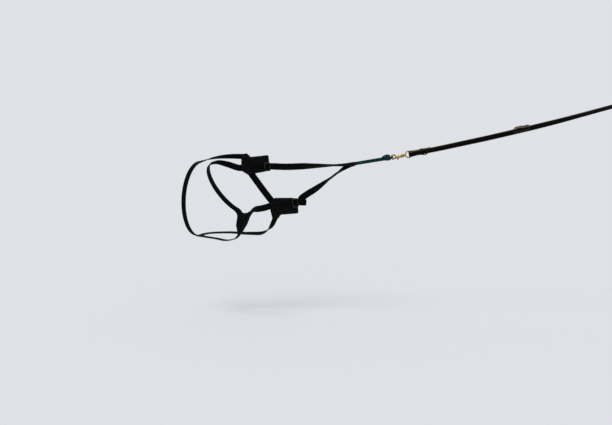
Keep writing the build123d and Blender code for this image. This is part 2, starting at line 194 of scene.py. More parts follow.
def metal_material(name, bright, dull, shine, wear_scale=160.0, bare=1.0):
    """Cast and tumbled metal: cloudy tarnish, fine scratches, dulled lows."""
    made = Finish(name)
    cloud, fine = made.grain(wear_scale, 6.0, 0.6), made.grain((900.0, 2600.0, 2600.0), 3.0)
    rough = cloud * -0.30 + (shine + 0.15) + fine * 0.12
    return made.done(
        cloud, [(0.34, dull), (0.62, bright)], fine * 0.6 + made.cells(700.0) * 0.5, 0.25, 0.00012,
        rough, 0.5 * bare, metallic=bare,
    )


def leather_material(name, crown=None, reach=1.0):
    """Black waxed leather: pebbled grain, edges rubbed brown, and along a folded crown a pale band that is
    wear and also a painted highlight where the fold faces up.
    """
    made = Finish(name)
    along, across = made.strap_lines()
    crease = made.grain((140.0, 30.0, 1.0), 6.0, 0.65, "UV")
    edge = abs(across) * (1.0 / 0.011)
    groove = calc("MINIMUM", abs(edge - 0.86) * 22.0, 1.0)
    rub_and_highlight = edge**9.0 + made.grain(45.0, 5.0) * 0.35
    stops = [(0.28, (0.0024, 0.0014, 0.0007)), (0.80, (0.0076, 0.0050, 0.0031))]
    if crown:
        # Pale band along the fold's crown: wear, and a painted highlight where the crown faces the sky.
        crown_wear_and_highlight = calc("MAXIMUM", reach - abs(along - crown * MM) * 180.0, 0.0)
        rub_and_highlight = calc("MINIMUM", rub_and_highlight, 0.6) + crown_wear_and_highlight
        stops.append((1.0, (0.140, 0.118, 0.090)))
    return made.done(
        rub_and_highlight, stops, made.cells(900.0) * 0.5 + crease + groove * 0.9, 0.5, 0.00035,
        crease * 0.22 + 0.34, 0.04,
    )


def cut_edge_material():
    """Raw cut edge of the leather: tan fibres in thin layers, waxed dark in places."""
    made = Finish("tan cut edge")
    fibre = made.grain((260.0, 1900.0, 1900.0), 5.0)
    shade = fibre * 0.4 + made.grain(70.0, 5.0) * 0.6
    stops = [(0.34, (0.013, 0.011, 0.005)), (0.55, (0.062, 0.051, 0.024)), (0.8, (0.17, 0.135, 0.066))]
    return made.done(shade, stops, fibre, 0.5, 0.0003, 0.68)


def thread_material(name, dark, light):
    """Sewing thread, with its plies as fine bands."""
    made = Finish(name)
    inputs = {"Vector": made.where["Object"], "Scale": 900.0, "Distortion": 1.5}
    ply = made.value("ShaderNodeTexWave", inputs, 1)
    return made.done(ply, [(0.2, dark), (0.9, light)], ply, 0.4, 0.0001, 0.6, 0.1)


BLACK_WEB = webbing_material("black nylon webbing", (0.0006, 0.0006, 0.0008), (0.0034, 0.0034, 0.0040))
BINDING = webbing_material(
    "black binding tape", (0.0008, 0.0008, 0.001), (0.004, 0.004, 0.0046), 0.0011, 0.0014
)
PADDING = padding_material()
TEAL = rope_material("teal rope yarn", (0.0006, 0.009, 0.010), (0.0024, 0.036, 0.037))
TEAL_PALE = rope_material("pale teal tracer yarn", (0.0015, 0.030, 0.031), (0.009, 0.110, 0.108))
ROPE_CORE = rope_material("rope core", (0.0005, 0.007, 0.008), (0.0018, 0.020, 0.021))
ROPE_PAINTS = [TEAL, TEAL_PALE, ROPE_CORE]
BRASS = metal_material("cast brass", (0.47, 0.265, 0.082), (0.105, 0.056, 0.015), 0.30)
# The bolt's brass is a darker copy of the cast brass: painted shade for the bolt and its thumb knob, which
# sit in shadow.
SHADED_BOLT_BRASS = metal_material("brass bolt darkened by painted shade", (0.17, 0.088, 0.028), (0.016, 0.009, 0.004), 0.36)
BLACKED = metal_material(
    "blacked ring, rubbed brown", (0.034, 0.024, 0.016), (0.006, 0.0045, 0.003), 0.45, bare=0.3
)
SLIDE = metal_material("olive bronze slide", (0.060, 0.054, 0.028), (0.012, 0.011, 0.007), 0.42, 110.0)
LEATHER = leather_material("black waxed leather")
# Saddle and tongue: the pale band on their crowns is wear and also a painted highlight.
FOLDED = leather_material("leather worn, with painted highlight on its fold crown", 27.0, 1.95)
TONGUE = leather_material("leather worn, with painted highlight on its tongue crown", 11.1, 1.5)
HIDE = [LEATHER, cut_edge_material()]
BLACK_THREAD = thread_material("black bonded thread", (0.006, 0.006, 0.007), (0.035, 0.035, 0.038))
WHIPPING = thread_material("tarred whipping twine", (0.0015, 0.0015, 0.0016), (0.008, 0.008, 0.0085))
WAXED_THREAD = thread_material("waxed linen thread", (0.016, 0.012, 0.007), (0.085, 0.064, 0.038))


# Shaping


def speeds(values, marks, first=None, final=None):
    """Slope of each value at its mark, so that the run through them bends smoothly."""
    steps = [(b - a) / (n - m) for a, b, m, n in zip(values, values[1:], marks, marks[1:])]
    out = [steps[0] if first is None else first]
    for i in range(1, len(steps)):
        a, b = marks[i] - marks[i - 1], marks[i + 1] - marks[i]
        out.append((steps[i - 1] * b + steps[i] * a) / (a + b))
    return out + [steps[-1] if final is None else final]


def between(values, slopes, marks, spot):
    i = 0
    while i < len(marks) - 2 and spot > marks[i + 1]:
        i += 1
    span = marks[i + 1] - marks[i]
    t = (spot - marks[i]) / span
    t2, t3 = t * t, t * t * t
    run = values[i] * (2 * t3 - 3 * t2 + 1) + slopes[i] * (span * (t3 - 2 * t2 + t))
    return run + values[i + 1] * (3 * t2 - 2 * t3) + slopes[i + 1] * (span * (t3 - t2))


def follow(stations, spacing=4.0, start=None, finish=None):
    """Even rings along a strap, from a table of stations: centre, direction across, width."""
    spots, sides, widths = zip(*stations)
    spots = [Vector(spot) for spot in spots]
    sides = [Vector(side).normalized() for side in sides]
    marks = [0.0]
    for a, b in zip(spots, spots[1:]):
        marks.append(marks[-1] + (b - a).length)
    run = speeds(spots, marks, start, finish)
    turn, grow = speeds(sides, marks), speeds(widths, marks)
    count = max(2, round(marks[-1] / spacing))
    step = marks[-1] * 1e-4
    rings = []
    for i in range(count + 1):
        here = marks[-1] * i / count
        low = between(spots, run, marks, max(here - step, 0))
        high = between(spots, run, marks, min(here + step, marks[-1]))
        along, side = (high - low).normalized(), between(sides, turn, marks, here)
        across = (side - along * side.dot(along)).normalized()
        rings.append((between(spots, run, marks, here), along, across, between(widths, grow, marks, here)))
    return rings


def rounded(corners, radii, step=1.2):
    """Points along a broken line whose corners are rounded off by arcs."""
    corners = [Vector((*corner, 0)) for corner in corners]
    points = [corners[0]]
    for a, b, c, radius in zip(corners, corners[1:], corners[2:], radii):
        into, out = (b - a).normalized(), (c - b).normalized()
        bend = into.angle(out)
        if bend < 1e-4:
            points.append(b)
            continue
        middle = b + (out - into).normalized() * (radius / math.cos(bend / 2))
        first = b - into * (radius * math.tan(bend / 2)) - middle
        turn = 1 if into.cross(out).z > 0 else -1
        count = max(2, math.ceil(radius * bend / step))
        for k in range(count + 1):
            points.append(middle + Matrix.Rotation(turn * bend * k / count, 3, "Z") @ first)
    return points + [corners[-1]]


def denser(points, spacing=3.0):
    """The same line, with points no further apart than about 'spacing'."""
    out = [points[0]]
    for a, b in zip(points, points[1:]):
        parts = max(1, round((b - a).length / spacing))
        out.extend(a.lerp(b, k / parts) for k in range(1, parts + 1))
    return out


Place = namedtuple("Place", "origin x y z")


def sloped(spot, slope, roll):
    """Frame at a spot: x climbs by 'slope' in the view, and y and z are rolled round it. Degrees."""
    a, b = math.radians(slope), math.radians(roll)
    x = Vector((math.cos(a), 0, math.sin(a)))
    z = Vector((-math.sin(a) * math.cos(b), -math.sin(b), math.cos(a) * math.cos(b)))
    return Place(Vector(spot), x, z.cross(x), z)


def spot_in(where, x, y, z):
    return where.origin + where.x * x + where.y * y + where.z * z


def rings_in(origin, x_dir, y_dir, across, points, width, spacing=3.0):
    """Rings of a strap whose line is drawn flat, in the plane of x_dir and y_dir."""
    spots = [origin + x_dir * p.x + y_dir * p.y for p in denser(points, spacing)]
    last = len(spots) - 1
    runs = [spots[min(i + 1, last)] - spots[max(i - 1, 0)] for i in range(last + 1)]
    return [(spot, run.normalized(), across, width) for spot, run in zip(spots, runs)]


def section(width, thick, corner, flats=8):
    """Strap cut across, as points of v, z and whether on an edge. 'corner' rounds its edges."""
    corner = min(corner, thick / 2 * 0.999)
    level, drop = width / 2 - corner, thick / 2 - corner
    rim = [(level + corner * math.sin(a), drop + corner * math.cos(a)) for a in (0.55, 1.1)]
    half = [(-level + 2 * level * i / flats, thick / 2, 0) for i in range(flats + 1)]
    half += [(v, z, 1) for v, z in rim] + [(width / 2, 0, 1)] + [(v, -z, 1) for v, z in reversed(rim)]
    return half + [(-v, -z, edge) for v, z, edge in half]


class Heap:
    """Points and faces of one piece, gathered before its mesh is made."""

    def __init__(self):
        self.points, self.faces, self.spots, self.paints = [], [], [], []

    def face(self, corners, spots, paint):
        self.faces.append(corners)
        self.spots.extend(spots)
        self.paints.append(paint)

    def band(self, rings, thick, corner, closed=False, edge_paint=0, cup=0.0, shift=0.0):
        """Strap through rings, with its ends closed. 'shift' moves it along its own face normal."""
        first = len(self.points)
        cuts, lengths = [], [0.0]
        for i, (spot, along, across, width) in enumerate(rings):
            if i:
                lengths.append(lengths[-1] + (spot - rings[i - 1][0]).length)
            out = along.cross(across).normalized()
            cuts.append(section(width, thick, corner))
            for v, z, edge in cuts[-1]:
                lift = z + shift + cup * (2 * v / width) ** 2
                self.points.append(spot + across * v + out * lift)
        size, last = len(cuts[0]), len(rings) - 1
        for i in range(last + 1 if closed else last):
            j = (i + 1) % len(rings)
            here, ahead = first + i * size, first + j * size
            step = lengths[j] if j else lengths[-1] + (rings[0][0] - rings[-1][0]).length
            for k in range(size):
                m = (k + 1) % size
                corners = (here + k, here + m, ahead + m, ahead + k)
                spots = (
                    (lengths[i], cuts[i][k][0]), (lengths[i], cuts[i][m][0]),
                    (step, cuts[j][m][0]), (step, cuts[j][k][0]),
                )
                self.face(corners, spots, edge_paint if cuts[i][k][2] or cuts[i][m][2] else 0)
        if not closed:
            for i in (0, last):
                end = tuple(range(first + i * size, first + (i + 1) * size))
                self.face(end, [(lengths[i], v) for v, z, edge in cuts[i]], edge_paint)
        return self

    def pipe(self, path, radius, around, squash=1.0, frames=None, closed=False, paint=0):
        """Round or oval run along a path. 'squash' is its height over its width."""
        first = len(self.points)
        lengths = [0.0]
        for i, (spot, (along, out, side)) in enumerate(zip(path, frames or carried(path))):
            if i:
                lengths.append(lengths[-1] + (spot - path[i - 1]).length)
            for k in range(around):
                x, y = radius * math.cos(TURN * k / around), radius * math.sin(TURN * k / around)
                self.points.append(spot + side * x + out * (y * squash))
        girth = [TURN * k / around * 2 for k in range(around + 1)]
        last = len(path) - 1
        for i in range(last + 1 if closed else last):
            j = (i + 1) % len(path)
            here, ahead = first + i * around, first + j * around
            u, w = lengths[i], lengths[j] if j else lengths[-1]
            for k in range(around):
                m = (k + 1) % around
                near, far = girth[k:k + 2]
                self.face(
                    (here + k, here + m, ahead + m, ahead + k),
                    ((u, near), (u, far), (w, far), (w, near)), paint,
                )
        if not closed:
            for i in (0, last):
                end = tuple(range(first + i * around, first + (i + 1) * around))
                self.face(end, [(lengths[i], girth[k]) for k in range(around)], paint)
        return self


def carried(path):
    """Direction, outward and sideways vectors carried along a path without twisting."""
    frames = []
    out = None
    for i in range(len(path)):
        along = (path[min(i + 1, len(path) - 1)] - path[max(i - 1, 0)]).normalized()
        out = along.orthogonal().normalized() if out is None else out
        out = (out - along * out.dot(along)).normalized()
        frames.append((along, out, along.cross(out)))
    return frames


def placed(name, data):
    """New object in the scene, named without spaces."""
    data.name = name.replace(" ", "_")
    piece = bpy.data.objects.new(name.replace(" ", "_"), data)
    bpy.context.scene.collection.objects.link(piece)
    return piece


def finished_mesh(piece):
    """What a piece's modifiers make of it, as a new mesh."""
    return bpy.data.meshes.new_from_object(piece.evaluated_get(bpy.context.evaluated_depsgraph_get()))


def settle(piece, body, nodes=()):
    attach(piece, body)
    if nodes:
        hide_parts(*nodes)


def build(name, heap, materials, nodes=(), body="harness"):
    """Makes a piece out of a heap, rides it on a body, and lets it stand for its CAD nodes."""
    mesh = bpy.data.meshes.new(name)
    mesh.from_pydata([tuple(p * MM) for p in heap.points], [], heap.faces)
    layer = mesh.uv_layers.new(name="UVMap")
    for loop, (u, v) in zip(layer.data, heap.spots):
        loop.uv = (u * MM, v * MM)
    for material in materials:
        mesh.materials.append(material)
    for polygon, paint in zip(mesh.polygons, heap.paints):
        polygon.material_index = paint
    work = bmesh.new()
    work.from_mesh(mesh)
    bmesh.ops.recalc_face_normals(work, faces=work.faces)
    work.to_mesh(mesh)
    work.free()
    mesh.shade_smooth()
    mesh.set_sharp_from_angle(angle=math.radians(50))
    settle(placed(name, mesh), body, nodes)


def webbing(name, rings, *nodes, cup=0.0):
    build(name, Heap().band(rings, THICK, WEB_EDGE, cup=cup), [BLACK_WEB], nodes)


def leather(name, rings, *nodes, thick=LEAD_THICK, corner=LEAD_EDGE, paints=HIDE, cup=0.0):
    """Leather strip. Where it has two paints, the second one is for its cut edges."""
    heap = Heap().band(rings, thick, corner, edge_paint=len(paints) - 1, cup=cup)
    build(name, heap, paints, nodes, "lead")


def binding(name, spots, outs, width):
    """Tape folded round a closed rim, which lies across the directions in 'outs'."""
    runs = [(spots[(i + 1) % len(spots)] - spots[i - 1]).normalized() for i in range(len(spots))]
    rings = [(spot, run, out, width) for spot, run, out in zip(spots, runs, outs)]
    build(name, Heap().band(rings, TAPE_THICK, 1.0, closed=True), [BINDING])


# Sewing: one stitch is drawn once, and set out along every row


def stitch_tree():
    tree = bpy.data.node_groups.new("sewing row", "GeometryNodeTree")
    face = tree.interface
    face.new_socket("Rows", in_out="INPUT", socket_type="NodeSocketGeometry")
    for name, value in (("Pitch", 0.0035), ("Stitch length", 0.0027), ("Thread radius", 0.00035)):
        face.new_socket(name, in_out="INPUT", socket_type="NodeSocketFloat").default_value = value
    face.new_socket("Thread", in_out="INPUT", socket_type="NodeSocketMaterial")
    face.new_socket("Stitches", in_out="OUTPUT", socket_type="NodeSocketGeometry")
    given = tree.nodes.new("NodeGroupInput").outputs

    def step(kind, inputs=(), **settings):
        return add(tree, "GeometryNode" + kind, inputs, **settings).outputs[0]

    curve = step("MeshToCurve", {0: given["Rows"]})
    evened = step("ResampleCurve", {"Curve": curve, "Length": given["Pitch"]}, mode="LENGTH")
    heading = {"Vector": step("InputTangent")}
    turned = add(tree, "FunctionNodeAlignRotationToVector", heading, axis="Z").outputs[0]
    ball = step("MeshUVSphere", {"Segments": 8, "Rings": 6, "Radius": 1.0})
    thin, long = given["Thread radius"], Value(tree, given["Stitch length"]) * 0.5
    size = add(tree, "ShaderNodeCombineXYZ", {0: thin, 1: thin, 2: long}).outputs[0]
    laid = {"Points": evened, "Instance": ball, "Rotation": turned, "Scale": size}
    solid = step("RealizeInstances", {0: step("InstanceOnPoints", laid)})
    smooth = step("SetShadeSmooth", {0: solid})
    painted = step("SetMaterial", {"Geometry": smooth, "Material": given["Thread"]})
    tree.links.new(painted, tree.nodes.new("NodeGroupOutput").inputs[0])
    return tree


SEWING = stitch_tree()


def stitches(name, rows, thread=BLACK_THREAD, pitch=3.5, length=2.7, radius=0.35, body="harness"):
    """Sewing along each row of points."""
    points, edges = [], []
    for row in rows:
        first = len(points)
        points.extend(tuple(Vector(p) * MM) for p in row)
        edges.extend((first + i, first + i + 1) for i in range(len(row) - 1))
    mesh = bpy.data.meshes.new(name)
    mesh.from_pydata(points, edges, [])
    guide = placed(name + " rows", mesh)
    sewn = guide.modifiers.new("sewing", "NODES")
    sewn.node_group = SEWING
    keys = {s.name: s.identifier for s in SEWING.interface.items_tree if s.in_out == "INPUT"}
    for key, size in (("Pitch", pitch), ("Stitch length", length), ("Thread radius", radius)):
        sewn[keys[key]] = size * MM
    sewn[keys["Thread"]] = thread
    result = finished_mesh(guide)
    guide.modifiers.remove(sewn)
    bpy.data.objects.remove(guide)
    settle(placed(name, result), body)


def on_face(ring, hand, inset, rise):
    """Spot on a strap's face: 'hand' runs from -1 to 1 across it, 'inset' from its edges."""
    spot, along, across, width = ring
    return spot + across * (hand * (width / 2 - inset)) + along.cross(across).normalized() * rise


def edge_rows(rings, inset, thick=THICK + 0.3):
    """Rows of points 'inset' from both edges of a strap, on both its faces."""
    rows = [(face * thick / 2, hand) for face in (1, -1) for hand in (-1, 1)]
    return [[on_face(ring, hand, inset, rise) for ring in rings] for rise, hand in rows]


def box_rows(rings, inset, rise):
    """Box with its cross, sewn through a lap that runs from the first ring to the last."""
    last = len(rings) - 1
    rows = [[on_face(ring, hand, inset, rise) for hand in (-1, 1)] for ring in (rings[0], rings[-1])]
    rows += [[on_face(ring, hand, inset, rise) for ring in rings] for hand in (-1, 1)]
    for turn in (-1, 1):
        rows.append([on_face(ring, turn * (1 - 2 * i / last), inset, rise) for i, ring in enumerate(rings)])
    return rows


# Straps of the harness

LEFT_SIDE = sloped((245, 63.4, -70), 8, 90)
RIGHT_SIDE = sloped((140, 57.0, 70), 3, 90)
BACK_LEFT, BACK_RIGHT = (side.origin.y + 1.5 * THICK + PAD_THICK for side in (LEFT_SIDE, RIGHT_SIDE))
WEB_ENDS = (-97, 14)

NECK_SIDE, NECK_HEIGHT = 74 + THICK / 2, 118 + THICK / 2
GIRTH_SIDE, GIRTH_HEIGHT = 100 + THICK / 2, 140 + THICK / 2
GIRTH_MIDDLE = Vector((-115, 72, -56))
CREST, BELLY = GIRTH_MIDDLE + UP * GIRTH_HEIGHT, GIRTH_MIDDLE - UP * GIRTH_HEIGHT

CHEST_DOWN = Vector((-25, 13, -79))
CHEST_Y = -(CHEST_DOWN - LEFT * CHEST_DOWN.dot(LEFT)).normalized()
CHEST = Place(Vector((62, -43, -84)), LEFT, CHEST_Y, LEFT.cross(CHEST_Y))
BREAST_ROUND, BREAST_MIDDLE = 150.0, 15.0


def oval(middle, x_dir, y_dir, across, side, rise, width, start, finish, count):
    """Stations round an ellipse in the plane of x_dir and y_dir, between two angles in degrees."""
    turns = [math.radians(start + (finish - start) * i / count) for i in range(count + 1)]
    spots = [middle + x_dir * (side * math.cos(a)) + y_dir * (rise * math.sin(a)) for a in turns]
    return [(spot, across, width) for spot in spots]


def breast_spot(x, y, z):
    """Point on the bulged chest plate: x and y as in its flat outline, z out of its middle."""
    lean = (x - BREAST_MIDDLE) / BREAST_ROUND
    level = math.sqrt(1 - lean * lean)
    return spot_in(CHEST, x + z * lean, y, (BREAST_ROUND + z) * level - BREAST_ROUND)


def over_plate(route, hand):
    """Stations of a strap that lies on the front of the chest plate: x, y, lift, width."""
    spots = [breast_spot(x, y, lift) for x, y, lift, width in route]
    out = []
    for i, (x, y, lift, width) in enumerate(route):
        step = spots[min(i + 1, len(route) - 1)] - spots[max(i - 1, 0)]
        front = breast_spot(x, y, lift + 5) - spots[i]
        out.append((spots[i], front.cross(step).normalized() * hand, width))
    return out


def neck_strap():
    plate_route = [
        (0, -85, 4.3, 17), (-1, -70, 4.5, 18), (-4, -54, 6.9, 19), (-12, -34, 6.9, NECK_WEB),
        (-25, -12, 4.8, NECK_WEB), (-38, 6, 4.4, NECK_WEB),
    ]
    seen = math.radians(240)
    first = math.degrees(math.atan2(math.sin(seen) / NECK_HEIGHT, math.cos(seen) / NECK_SIDE)) % 360
    loop = over_plate(plate_route, -1)
    loop += oval(Vector(), LEFT, NAPE, NECK, NECK_SIDE, NECK_HEIGHT, NECK_WEB, first, 90, 15)
    loop += [
        ((-48, 64, 86), (0.52, -0.36, 0.78), NECK_WEB), ((-10, 68, 77), (0.25, -0.2, 0.94), 24),
        (spot_in(RIGHT_SIDE, WEB_ENDS[0], 0, -THICK / 2), RIGHT_SIDE.y, WEB),
    ]
    rings = follow(loop, finish=RIGHT_SIDE.x)
    webbing("neck strap over the nape", rings, "neck_strap_right", cup=0.5)
    stitches("neck strap edge sewing", edge_rows(rings, 2.2))


def girth():
    over = [
        (CREST + LEFT * 26 + UP, (0.80, -0.58, 0.18)), ((-52, 88, 99), (0.42, -0.72, 0.55)),
        ((8, 76, 106), (0.1, -0.35, 0.93)), ((46, BACK_RIGHT, 107), UP), ((66, BACK_RIGHT, 107), UP),
    ]
    loop = oval(GIRTH_MIDDLE, LEFT, UP, FORE, GIRTH_SIDE, GIRTH_HEIGHT, GIRTH_WEB, 270, 90, 20)
    near = follow(loop + [(*station, GIRTH_WEB) for station in over])
    webbing("girth over the back", near, "girth_strap_right")
    under = [
        (BELLY, FORE), (BELLY + LEFT * 34, FORE), ((-10, 112, -195), (0.25, -0.95, -0.1)),
        ((74, 104, -197), (-0.1, -0.93, -0.35)), ((124, 92, -191), (-0.45, -0.75, -0.5)),
        ((148, 83, -173), (-0.8, -0.45, -0.4)), ((162, 77, -147), (-0.93, -0.2, -0.3)),
        ((171, BACK_LEFT, -122), (-0.96, 0, -0.28)), ((175, BACK_LEFT, -104), (-0.96, 0, -0.28)),
    ]
    far = follow([(*station, GIRTH_WEB) for station in under], start=LEFT)
    webbing("girth under the belly", far, "girth_strap_left")
    stitches("girth edge sewing", edge_rows(near, 2.0) + edge_rows(far, 2.0))


def chest_straps():
    plate_route = [
        (3, -58, 4.0, 17), (7, -44, 4.2, 19), (13, -27, 4.3, 21), (26, -6, 4.3, 23), (42, 4, 4.3, WEB),
    ]
    to_pad = [
        ((107, 12, -82.5), (0.1, -0.05, 0.99), WEB), ((128, 38, -84), (-0.05, 0, 1), WEB),
        (spot_in(LEFT_SIDE, WEB_ENDS[0], 0, -THICK / 2), LEFT_SIDE.y, WEB),
    ]
    arm = follow(over_plate(plate_route, 1) + to_pad, finish=LEFT_SIDE.x)
    webbing("chest strap to the left pad", arm, "chest_strap_left", cup=0.4)

    lean = (0.807, 0, 0.59)
    spots = ((62, BACK_RIGHT, 66), (84, BACK_RIGHT, 34), (150, BACK_LEFT, -58), (176, BACK_LEFT, -90))
    over = follow([(spot, lean, WEB) for spot in spots])
    webbing("withers strap between the pads", over, "withers_strap", cup=-0.3)

    under_belly = BELLY - UP * (THICK + 0.1)
    down = [
        (spot_in(CHEST, 0, -84, 0), LEFT, 23), ((26, -22, -185), LEFT, GIRTH_WEB),
        ((-6, -2, BELLY.z - THICK), LEFT, GIRTH_WEB), (under_belly + FORE * 70, LEFT, GIRTH_WEB),
        (under_belly - FORE * 14, LEFT, GIRTH_WEB),
    ]
    breast = follow(down, start=-CHEST.y)
    webbing("breast strap to the girth", breast, "breast_strap")
    rows = edge_rows(arm, 2.2) + edge_rows(over, 2.2) + edge_rows(breast, 2.0)
    for face in (1, -1):
        rows += box_rows(breast[-6:], 3.0, face * (THICK + 0.3) / 2)
    stitches("chest and breast sewing", rows)


# Padded pieces: a flat shape is blown up a little by air pressure, then pressed under its webbing


def panel(name, where, outline, near, deep):
    """Closed flat shape between two depths of a frame, as even small faces."""
    work = bmesh.new()
    top, low = ([work.verts.new(spot_in(where, p.x, p.y, z) * MM) for p in outline] for z in (near, deep))
    work.faces.new(top)
    work.faces.new(list(reversed(low)))
    for i in range(len(top)):
        j = (i + 1) % len(top)
        work.faces.new((top[i], low[i], low[j], top[j]))
    bmesh.ops.recalc_face_normals(work, faces=work.faces)
    mesh = bpy.data.meshes.new(name)
    work.to_mesh(mesh)
    work.free()
    piece = placed(name, mesh)
    even_faces = piece.modifiers.new("even faces", "REMESH")
    even_faces.mode = "VOXEL"
    even_faces.voxel_size = 0.0020
    bake(piece)
    return piece


def bake(piece):
    """Makes what the modifiers show the piece's own mesh."""
    mesh = finished_mesh(piece)
    piece.modifiers.clear()
    old, piece.data = piece.data, mesh
    bpy.data.meshes.remove(old)


def inflate(piece, most, puffs=20):
    """Air pressure rounds the piece, and no point moves further than 'most'."""
    air = piece.modifiers.new("air", "CLOTH")
    for key, value in (
        ("use_pressure", True), ("uniform_pressure_force", 4.0), ("mass", 0.2),
        ("tension_stiffness", 20), ("compression_stiffness", 20),
    ):
        setattr(air.settings, key, value)
    air.settings.effector_weights.gravity = 0
    air.point_cache.frame_start, air.point_cache.frame_end = 1, puffs
    for number in range(1, puffs + 1):
        bpy.context.scene.frame_set(number)
    blown = finished_mesh(piece)
    bpy.context.scene.frame_set(1)
    piece.modifiers.clear()
    for vert, goal in zip(piece.data.vertices, blown.vertices):
        shift = goal.co - vert.co
        if shift.length > most * MM:
            shift *= most * MM / shift.length
        vert.co += shift
    bpy.data.meshes.remove(blown)


def finer(piece):
    ease = piece.modifiers.new("ease", "SMOOTH")
    ease.factor, ease.iterations = 0.5, 1
    piece.modifiers.new("finer", "SUBSURF").levels = 1
    bake(piece)


def cover(piece, node):
    piece.data.materials.append(PADDING)
    piece.data.shade_smooth()
    settle(piece, "harness", [node])


def laid_on(piece, points, from_side, lift=0.1):
    """Rows of points dropped onto a piece from one side, then raised by 'lift'."""
    mesh = piece.data
    tree = BVHTree.FromPolygons([v.co[:] for v in mesh.vertices], [p.vertices[:] for p in mesh.polygons])
    rows = [[]]
    for p in points:
        hit = tree.ray_cast((p + from_side * 30) * MM, from_side * -1)[0]
        if hit is not None:
            rows[-1].append(hit / MM + from_side * lift)
        elif rows[-1]:
            rows.append([])
    return [row for row in rows if len(row) > 1]


def rim_rows(piece, where, outline, inset):
    """Sewing inside the rim of a padded piece, on both its faces."""
    row = inset_outline(outline, inset)
    points = [spot_in(where, p.x, p.y, 0) for p in row + row[:1]]
    return laid_on(piece, points, where.z) + laid_on(piece, points, -where.z)


def inset_outline(outline, amount):
    """Outline drawn in by an amount, for a row of sewing or a tape inside the rim."""
    count = len(outline)
    area = sum(outline[i].cross(outline[(i + 1) % count]).z for i in range(count))
    hand = 1 if area > 0 else -1
    out = []
    for i, p in enumerate(outline):
        along = (outline[(i + 1) % count] - outline[i - 1]).normalized()
        out.append(p + Vector((-along.y, along.x, 0)) * (amount * hand))
    return out


def loop_points(corners, radius):
    """Closed outline with every corner rounded, as even points."""
    start = tuple((a + b) / 2 for a, b in zip(corners[0], corners[-1]))
    dense = denser(rounded([start] + corners + [start], [radius] * len(corners), 2.0))
    slim = [dense[0]]
    for p in dense[1:-1]:
        if (p - slim[-1]).length > 0.8:
            slim.append(p)
    return slim


PAD_OUTLINE = [
    (-94, 15), (-75, 28), (-14, 20), (9, 14), (6, -43), (-61, -39), (-75, -54), (-95, -51), (-98, -16)
]
PRESSED_REACH, PRESSED_EASE = WEB / 2 + 3.0, 3.0


def side_pad(label, where, flip):
    """Pad behind the webbing of one side. The right one is the left one's outline flipped over."""
    outline = loop_points([(x, y * flip) for x, y in PAD_OUTLINE][::flip], 6)
    front, back = -THICK - 0.8, -THICK - PAD_THICK + 1.1
    pad = panel(f"side pad {label}", where, inset_outline(outline, 0.2), front, back)
    inflate(pad, 1.1)
    limit = -THICK - 0.15
    for vert in pad.data.vertices:
        x, y, z = ((vert.co / MM - where.origin).dot(axis) for axis in where[1:])
        if z > limit and -99 < x < 20:
            pressed = max(0.0, min(1.0, (PRESSED_REACH - abs(y)) / PRESSED_EASE))
            vert.co -= where.z * ((z - limit) * pressed * MM)
    finer(pad)
    cover(pad, f"side_pad_{label}")
    spots = [spot_in(where, p.x, p.y, -THICK - PAD_THICK / 2) for p in inset_outline(outline, 1.0)]
    binding(f"side pad {label} binding", spots, [where.z] * len(spots), PAD_THICK - 1.2)
    rows = rim_rows(pad, where, outline, 5.0)
    for y in (-30 * flip, 20 * flip):
        rows += laid_on(pad, [spot_in(where, x, y, 0) for x in range(-86, -8, 3)], -where.z)
    stitches(f"side pad {label} quilting", rows, pitch=4.2, length=3.2, radius=0.4)


def arc_through(a, b, c, count=16):
    """Points on the arc from a through b to c, without its first one."""
    (ax, ay), (bx, by), (cx, cy) = a, b, c
    d = 2 * (ax * (by - cy) + bx * (cy - ay) + cx * (ay - by))
    aa, bb, cc = ax**2 + ay**2, bx**2 + by**2, cx**2 + cy**2
    ux = (aa * (by - cy) + bb * (cy - ay) + cc * (ay - by)) / d
    uy = (aa * (cx - bx) + bb * (ax - cx) + cc * (bx - ax)) / d
    r = math.hypot(ax - ux, ay - uy)
    first, middle, last = (math.atan2(y - uy, x - ux) for x, y in (a, b, c))
    first += TURN * round((middle - first) / TURN)
    last += TURN * round((middle - last) / TURN)
    turns = [first + (last - first) * k / count for k in range(1, count + 1)]
    return [(ux + r * math.cos(t), uy + r * math.sin(t)) for t in turns]


def chest_plate():
    """Plate on the forechest: cut flat, then bulged."""
    rim = [(-46, 21), (-48, 1)] + arc_through((-48, 1), (-38, -12), (-34, -30))
    rim += [(-30, -54), (-12, -86), (12, -86), (30, -54), (34, -30)]
    rim += arc_through((34, -30), (37, -18), (46, -10)) + [(44, 7)]
    rim += arc_through((44, 7), (0, -4.5), (-46, 21))[:-1]
    rim = [Vector((*spot, 0)) for spot in rim]
    dense = denser(rim + rim[:1])[:-1]
    plate = panel("chest plate", CHEST, inset_outline(dense, 0.2), 2.0, -2.0)
    inflate(plate, 1.0)
    finer(plate)
    for vert in plate.data.vertices:
        local = vert.co / MM - CHEST.origin
        vert.co = breast_spot(*(local.dot(axis) for axis in CHEST[1:])) * MM
    cover(plate, "chest_plate")
    rim_line = inset_outline(dense, 0.9)
    outs = [(breast_spot(p.x, p.y, 3) - breast_spot(p.x, p.y, -3)).normalized() for p in rim_line]
    binding("chest plate binding", [breast_spot(p.x, p.y, 0) for p in rim_line], outs, 5.4)
    stitches("chest plate quilting", rim_rows(plate, CHEST, dense, 4.4), pitch=4.0, length=3.0, radius=0.4)


# Webbing through the slides, and the two traces that leave them


def turned_over(rings):
    return [(spot, along, -across, width) for spot, along, across, width in rings]


